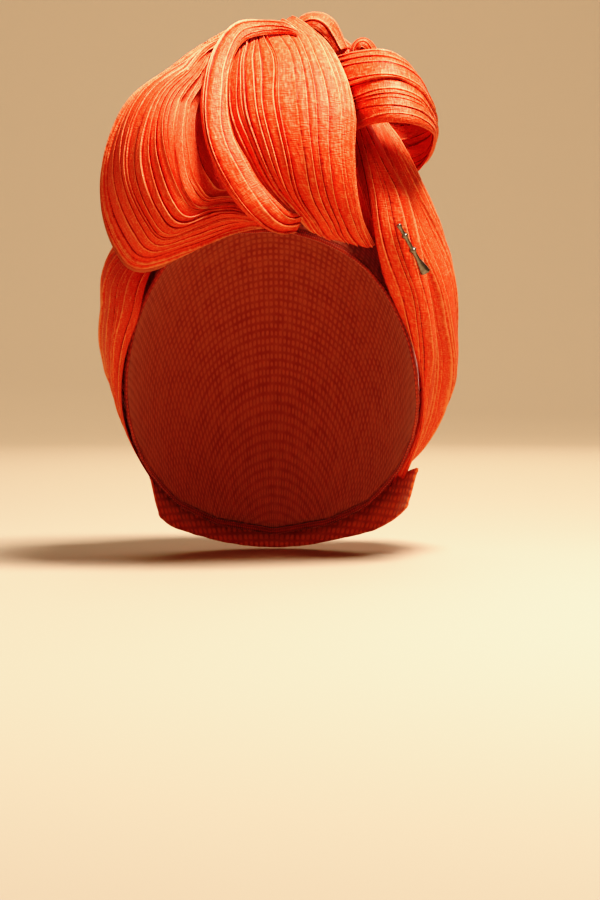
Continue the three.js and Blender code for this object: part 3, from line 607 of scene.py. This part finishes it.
# Side wrap at the right
# A length of the same pleated silk that comes out of the loop at the upper right and goes down and back
# over the ear, where the nape band holds its end.
RIGHT_WRAP = [
    # near edge, far edge, lift between them
    (50, -42, 41, 55, -32, 45, 2), (57, -56, 10, 67.5, -24, 24, 6), (61, -58, -11, 77, -4, 7, 10),
    (66, -51, -33, 83, 28, -11, 16), (72, -38, -56.5, 83, 52, -33, 22), (77, -20, -82, 77, 72, -61, 25),
    (78, 2, -108.5, 68, 84, -92.5, 29), (76, 27, -136, 56.5, 91, -124, 21), (67, 45, -163, 43, 86, -153, 1),
]
silk_sheet("side_wrap_right_cloth", "side_wrap_right", RIGHT_WRAP, rows=160, pleats=20, seed=37,
           held="draped", flat=(0.110, 0.225), rests_on=["cap_of_woven_crepe"],
           far=4, start=0.1, end=0.2, girth=100, folds=(5, 2.2))

# Strand at the right of the face
# A narrower length of the silk, folded over along its front edge. It lies on the side wrap, carries the
# pin, and is caught in the knot above and at the nape below.
RIGHT_STRAND = [
    # near edge, far edge, lift between them
    (42, -52, 37, 50, -47, 40, 2), (47, -69, 15, 57.5, -63, 15.5, 5), (50.5, -72, -2.5, 67, -59, -2.5, 7),
    (53.5, -71, -22, 73, -55, -21.5, 8), (58, -62, -42.5, 79, -46, -43, 8),
    (65.5, -47, -64, 84.5, -34, -66, 7), (72, -29, -85.5, 87, -19, -88.5, 6),
    (75, -7, -108.5, 86, 1, -111.5, 5), (75, 17, -132, 81, 22, -135.5, 4),
    (70, 37, -154.5, 74.5, 40, -158, 1),
]
silk_sheet("front_strand_right_cloth", "front_strand_right", RIGHT_STRAND, rows=190, pleats=6, seed=41,
           held="draped", flat=(0.026, 0.220), rests_on=["side_wrap_right_cloth"],
           start=0.1, end=0.15, girth=25, folds=(2, 0.8))

# Inner strand
# The end of the strand below the loop, seen dark between the front panel and the strand on the right: a
# narrow tail of the same pleated silk, tucked in behind both.
INNER_STRAND = [
    # near edge, far edge, lift between them
    (41.2, -45, 32, 48.7, -44, 36, 2), (47.2, -54, 6, 53.2, -56, 11, 3), (50.7, -56, -8, 56.7, -57, -3, 3),
    (54.2, -55, -20.5, 60.7, -56, -15, 2),
]
silk_sheet("inner_strand_cloth", "inner_strand", INNER_STRAND, rows=60, pleats=2, seed=53, held="hung",
           flat=(0.013, 0.060), rests_on=["side_wrap_right_cloth"], girth=10, depth=0.7)

# Front roll
# A thick pad of batting wound in the silk, from the knot round the left of the brow and in under the
# centre fold. The pleats run the way it is wound.
RING_CENTRE = (8.6, 30.3)
# The ring's mean radius and the width of cloth round the pad in mm, for the pleats and the cloth map.
RING_RADIUS = 75
PAD_GIRTH = 290
SKIN_ROWS, SKIN_COLS = 49, 96
SIMULATED_FRAMES = 16
ROLL = [
    # turn round the ring from the top, outer and inner radii, how far forward and back it reaches
    (30, 60, 56, -51, -40), (42, 63, 49, -63, -16), (60, 68, 42, -80, 4), (77, 83, 37.5, -91, 10),
    (93, 94, 34.5, -97, 12), (108, 102.5, 32.5, -98, 8), (124, 107, 32.5, -96, -2),
    (133, 104.5, 33, -93, -12), (139, 83, 34, -90, -20), (146, 66, 36, -87, -30), (156, 56, 39, -84, -42),
    (170, 51, 43.5, -79, -58), (184, 51, 47.5, -74, -66),
]


def pad_skin(line, u):
    """The pad without its pleats: at each row of line, which is a turn round the ring, an oval section
    from the inner to the outer radius and from front to back, at shares u of the way round it."""
    turn, outer, inner, front, back = (line[:, k, None] for k in range(5))
    b = 2 * np.pi * u
    radius = (outer + inner) / 2 + (outer - inner) / 2 * np.cos(b)
    y = (front + back) / 2 - (back - front) / 2 * np.sin(b)
    a = np.radians(turn)
    return np.stack([RING_CENTRE[0] - radius * np.sin(a), y, RING_CENTRE[1] + radius * np.cos(a)], axis=-1)


def with_lids(grid):
    """Points and faces of a joined grid closed at both ends by fans to the middles of its end rows."""
    rows, cols = grid.shape[:2]
    n = rows * cols
    each = np.arange(cols)
    points = np.concatenate([grid.reshape(-1, 3), [grid[0].mean(axis=0), grid[-1].mean(axis=0)]])
    lids = [fan(n, each), fan(n + 1, n - cols + each, backwards=True)]
    return points, np.concatenate([grid_faces(rows, cols, joined=True), *lids])


def outward(grid):
    """Unit normals of a joined grid, turned away from the middles of its rows."""
    n = normals(grid, joined=True)
    return n * np.sign(((grid - grid.mean(axis=1, keepdims=True)) * n).sum())


def stuffed(rows, cols, shrink, most, pressure):
    """How the batting moves the pad's skin: the skin, sewn shrink mm too small, is blown up for some frames
    as cloth without gravity, held at its two tucked ends. Returns each point's move from the plain skin,
    at most so many mm."""
    shares = np.arange(cols)[None] / cols + np.zeros((rows, 1))
    plain = pad_skin(spline(ROLL, np.linspace(0, 1, rows)), shares)
    small = plain - outward(plain) * shrink
    ends = [small[0].mean(axis=0), small[-1].mean(axis=0)]
    each = np.arange(cols)
    beside = (each + 1) % cols
    tips = [np.stack([np.full(cols, rows * cols + k), first + each, first + beside], axis=1).tolist()
            for k, first in enumerate((0, (rows - 1) * cols))]
    mesh = bpy.data.meshes.new("skin")
    points = np.concatenate([small.reshape(-1, 3), ends]) / 1000
    faces = grid_faces(rows, cols, joined=True).tolist() + tips[0] + [t[::-1] for t in tips[1]]
    mesh.from_pydata(points.tolist(), [], faces)
    skin = bpy.data.objects.new("skin", mesh)
    bpy.context.collection.objects.link(skin)
    held = skin.vertex_groups.new(name="held")
    held.add(list(range(2 * cols)) + list(range((rows - 2) * cols, rows * cols + 2)), 1.0, "ADD")
    cloth = skin.modifiers.new("stuffing", "CLOTH").settings
    cloth.vertex_group_mass = "held"
    cloth.quality = 4
    cloth.use_pressure = True
    cloth.uniform_pressure_force = pressure
    cloth.effector_weights.gravity = 0
    for frame_number in range(1, SIMULATED_FRAMES + 1):
        bpy.context.scene.frame_set(frame_number)
    seen = skin.evaluated_get(bpy.context.evaluated_depsgraph_get()).to_mesh()
    moved = np.empty(3 * len(points), dtype=np.float32)
    seen.vertices.foreach_get("co", moved)
    bpy.context.scene.frame_set(1)
    bpy.data.objects.remove(skin)
    move = moved.reshape(-1, 3)[:rows * cols].reshape(rows, cols, 3) * 1000 - plain
    far = np.linalg.norm(move, axis=-1, keepdims=True)
    return move * np.minimum(1, most / np.maximum(far, 1e-6))


def wound_pad(rows, pleats, seed, depth, swell):
    """The stuffed pad, raised along its normals by pleats that run round the ring and by slow swells.
    Returns its skin, its cloth places and its painted lightness, painted shade in the grooves and painted
    highlights on the lips."""
    line = spline(ROLL, np.linspace(0, 1, rows))
    ring_mm = np.radians(line[:, 0] - line[0, 0]) * RING_RADIUS
    u, high, light = pleat_lines(pleats, PAD_GIRTH, ring_mm, seed, 1.0, joined=True)
    grid = pad_skin(line, u)
    move = stuffed(SKIN_ROWS, SKIN_COLS, shrink=0.5, most=5, pressure=12)
    move = spline(move.reshape(SKIN_ROWS, -1), np.linspace(0, 1, rows)).reshape(rows, SKIN_COLS, 3)
    cell = np.floor(u * SKIN_COLS).astype(int)
    part = (u * SKIN_COLS - cell)[..., None]
    each = np.arange(rows)[:, None]
    before, after = move[each, cell % SKIN_COLS], move[each, (cell + 1) % SKIN_COLS]
    grid = grid + before * (1 - part) + after * part
    n = outward(grid)
    slow = soft_noise(u * 8 + NOISE_START, ring_mm[:, None] / 60 + NOISE_START, seed + 20, 8) - 0.5
    grid = grid + n * (depth * high + swell * slow)[..., None]
    grid = kept_above(grid, SHEET_HEIGHT + 1.8, 2)
    girth = np.linalg.norm(np.diff(grid[rows // 2], axis=0), axis=1).sum()
    place = np.stack([u * girth, ring_mm[:, None] + 0 * u], axis=-1).reshape(-1, 2) / 1000
    return grid, place, light


grid, place, painted_shading = wound_pad(rows=170, pleats=62, seed=61, depth=1.1, swell=3.0)
points, faces = with_lids(grid)
front_roll = make_piece("front_roll_pad", points, faces, np.concatenate([place, place[:2]]), silk,
                        np.concatenate([painted_shading.ravel(), [0.5, 0.5]]))
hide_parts("front_roll")

# Front panel
# The wide fan of pleated silk over the brow. It is gathered at the knot, goes over its top, spreads down
# the front and is gathered again above the right temple.
PANEL = [
    # near edge, far edge, lift between them
    (-4.5, 8, 60.5, 14, 6, 62.5, 2), (-12, -6, 80, 14, -8, 85.5, 3), (-14, -36, 82.5, 13.5, -32, 91, 1),
    (-19, -55, 69, 29, -54, 75, 7.5), (-23, -70, 52.5, 38.5, -71, 55, 14),
    (-22.5, -78, 34.5, 43, -83, 35.5, 15), (-15, -84, 16.5, 42.5, -87, 16.5, 14),
    (-4, -85, -0.5, 43.5, -85, -2, 11), (12, -80, -13.5, 47, -77, -18, 8),
    (19, -72, -20.5, 53.5, -64, -30.5, 4),
]
silk_sheet("front_panel_cloth", "front_panel", PANEL, rows=180, pleats=19, seed=71, held="gathered",
           flat=(0.095, 0.180), rests_on=["cap_of_woven_crepe"], girth=90, folds=(5, 1.8))

# Centre fold
# A thick strand of the silk, folded lengthwise, that crosses from the knot round the middle of the brow
# and is tucked up under the panel's foot.
CENTRE_FOLD = [
    # near edge, far edge, lift between them
    (13, -58, 81, 15.3, -61, 78.5, 0.5), (6.8, -55, 85.5, 8.8, -57.5, 80.5, 1.5),
    (-5.2, -51, 86.5, -2.7, -56, 80, 2), (-18.2, -54, 84.5, -12.7, -59, 77, 2.5),
    (-27.2, -63.1, 74.5, -18.2, -65.5, 70, 3), (-33.2, -77.1, 57.5, -22.2, -77.5, 55.5, 3.5),
    (-35.2, -87.1, 41, -22.2, -85, 39, 4), (-33.2, -94.1, 23.5, -19.2, -89.5, 24.5, 4),
    (-27.7, -97, 7.5, -12.7, -92.5, 12, 4), (-19.2, -97.1, -7.5, -5.2, -92.5, -0.5, 4),
    (-9.7, -95, -18, 4, -93, -11, 3), (0.8, -90, -24.5, 10.3, -90.5, -16, 2.5),
    (12.3, -84.3, -25.5, 15.8, -84.8, -15.5, 1.5),
]
silk_sheet("centre_fold_cloth", "centre_fold", CENTRE_FOLD, rows=220, pleats=5, seed=83, held="folded",
           flat=(0.022, 0.190), rests_on=["front_panel_cloth"], girth=21, folds=(2, 0.8))

# Side loop
# A broad loop of the silk that stands out at the upper right: it leaves the knot, turns round at the side
# and goes back in behind, open above and below.
SIDE_LOOP = [
    # near edge, far edge, lift between them
    (26.1, -43.6, 64.5, 35.6, -49.6, 27, 2), (35.6, -54.6, 68, 42.6, -66.6, 28.5, 4),
    (46.6, -62.6, 69.5, 51.6, -82.6, 30.5, 6), (59.1, -66.6, 69, 62.1, -90.6, 31, 7),
    (69.6, -60.6, 63.5, 73.6, -88.6, 30, 6), (77.1, -46.6, 54, 82.1, -74.6, 28, 4),
    (83.1, -30.6, 46, 85.6, -50.6, 26, 3), (81.6, -13.6, 43, 83.6, -26.6, 18, 4),
    (73.1, -1.6, 44, 77.1, -5.6, 11, 4), (63.1, 1.4, 47, 66.1, 1.4, 10, 3), (53.1, 1.9, 50, 56.1, 2.4, 12, 2),
]
silk_sheet("side_loop_cloth", "side_loop", SIDE_LOOP, rows=190, pleats=11, seed=97, held="folded",
           flat=(0.045, 0.165), rests_on=["front_panel_cloth", "crown_wrap_cloth"],
           side=-1, girth=44, folds=(3, 1.0))

# Top loops
# Three short crushed loops of the silk, where the cloth's ends are rolled, bent over and tucked in behind
# the knot.
FRONT_TOP_LOOP = [
    # path, half thickness across it, half thickness front to back
    (15.8, -22, 80, 3.5, 6), (18.3, -23.5, 87.5, 6, 8), (25.3, -25, 87.5, 7.5, 9), (31.8, -26, 81.5, 7, 8),
    (36.8, -27, 73.5, 4.5, 6),
]
MIDDLE_TOP_LOOP = [
    # path, half thickness across it, half thickness front to back
    (25.8, -10.5, 68, 4.5, 5), (29.8, -9.5, 76, 6, 7), (35.8, -10.5, 77.5, 7, 8), (41.8, -11.5, 72.5, 6, 7),
    (44.8, -13, 65, 4, 5),
]
BACK_TOP_LOOP = [
    # path, half thickness across it, half thickness front to back
    (43.4, -27, 67.5, 3.5, 6), (45.4, -26, 74.5, 4, 7), (48.9, -26, 77, 5, 8), (51.9, -26, 73, 5, 7),
    (53.9, -27, 66.5, 3.5, 6),
]
# The width of cloth round a loop in mm, for its pleats and on its cloth map.
LOOP_GIRTH, LOOP_MAP = 36, 35


def crushed_loop(name, node, table, seed):
    line = spline(table, np.linspace(0, 1, 64))
    ahead = np.gradient(line[:, :3], axis=0)
    ahead /= np.linalg.norm(ahead, axis=1, keepdims=True)
    back = np.array([0, 1.0, 0]) - ahead * ahead[:, 1:2]
    back /= np.linalg.norm(back, axis=1, keepdims=True)
    side = np.cross(ahead, back)
    run = np.concatenate([[0], np.cumsum(np.linalg.norm(np.diff(line[:, :3], axis=0), axis=1))])
    u, high, painted_shading = pleat_lines(8, LOOP_GIRTH, run, seed, 0.8, joined=True)
    b = 2 * np.pi * u
    grid = line[:, None, :3] + side[:, None] * (line[:, 3, None] * np.cos(b))[..., None]
    grid = grid - back[:, None] * (line[:, 4, None] * np.sin(b))[..., None]
    slow = soft_noise(u * 4 + NOISE_START, run[:, None] / 9 + NOISE_START, seed + 20, 4) - 0.5
    grid = grid + outward(grid) * (0.9 * high + 2.0 * slow)[..., None]
    points, faces = with_lids(grid)
    along_mm = np.broadcast_to(run[:, None], u.shape)
    place = np.stack([u * LOOP_MAP, along_mm], axis=-1).reshape(-1, 2) / 1000
    piece = make_piece(name, points, faces, np.concatenate([place, place[:2]]), silk,
                       np.concatenate([painted_shading.ravel(), [0, 0]]))
    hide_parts(node)


crushed_loop("top_loop_front_cloth", "top_loop_front", FRONT_TOP_LOOP, seed=101)
crushed_loop("top_loop_middle_cloth", "top_loop_middle", MIDDLE_TOP_LOOP, seed=103)
crushed_loop("top_loop_back_cloth", "top_loop_back", BACK_TOP_LOOP, seed=107)

# Bar pin
# A small turned bar of nickel-plated brass with three knuckles and a flared end, pinned on the strand at
# the right, along its fall.
PIN_FROM, PIN_TO = np.array([66, -74.6, -20.0]), np.array([81, -63.6, -45.0])
PIN_PROFILE = np.array([
    # place along the bar, radius in mm
    (0, 0.05), (0.01, 1.0), (0.02, 1.4), (0.06, 1.3), (0.1, 1), (0.2, 1), (0.22, 1.5), (0.24, 1.9),
    (0.26, 1.5), (0.3, 1), (0.48, 1), (0.51, 1.6), (0.53, 2.1), (0.55, 1.6), (0.6, 1.1), (0.72, 1.1),
    (0.8, 1.8), (0.9, 2.4), (0.97, 2.8), (0.985, 2.6), (0.99, 1.6), (1, 0.05),
])
PIN_SIDES = 32
bar = PIN_TO - PIN_FROM
axis = bar / np.linalg.norm(bar)
first = np.cross(axis, [0, 0, 1.0])
first /= np.linalg.norm(first)
second = np.cross(axis, first)
b = 2 * np.pi * np.arange(PIN_SIDES) / PIN_SIDES
grid = PIN_FROM + bar * PIN_PROFILE[:, 0, None, None] + PIN_PROFILE[:, 1, None, None] * (
    np.cos(b)[None, :, None] * first + np.sin(b)[None, :, None] * second)
points, faces = with_lids(grid)
# Nickel gone dull: grey, with a soft metallic shine and small lighter spots where it is rubbed.
nickel, tree, shader = new_material("Nickel-plated brass, dulled", Metallic=1.0, Roughness=0.34)
place = add_node(tree, "ShaderNodeTexCoord").outputs["Object"]
rub = add_node(tree, "ShaderNodeTexNoise", None, Vector=place, Scale=900.0, Detail=4.0).outputs["Fac"]
metal = add_node(tree, "ShaderNodeValToRGB", None, Fac=rub)
for stop, colour in zip(metal.color_ramp.elements, ("#5f5b55", "#a8a296")):
    stop.color = linear(colour)
tree.links.new(metal.outputs["Color"], shader.inputs["Base Color"])
bar_pin = make_piece("bar_pin_metal", points, faces, points[:, :2] / 1000, nickel)
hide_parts("bar_pin")
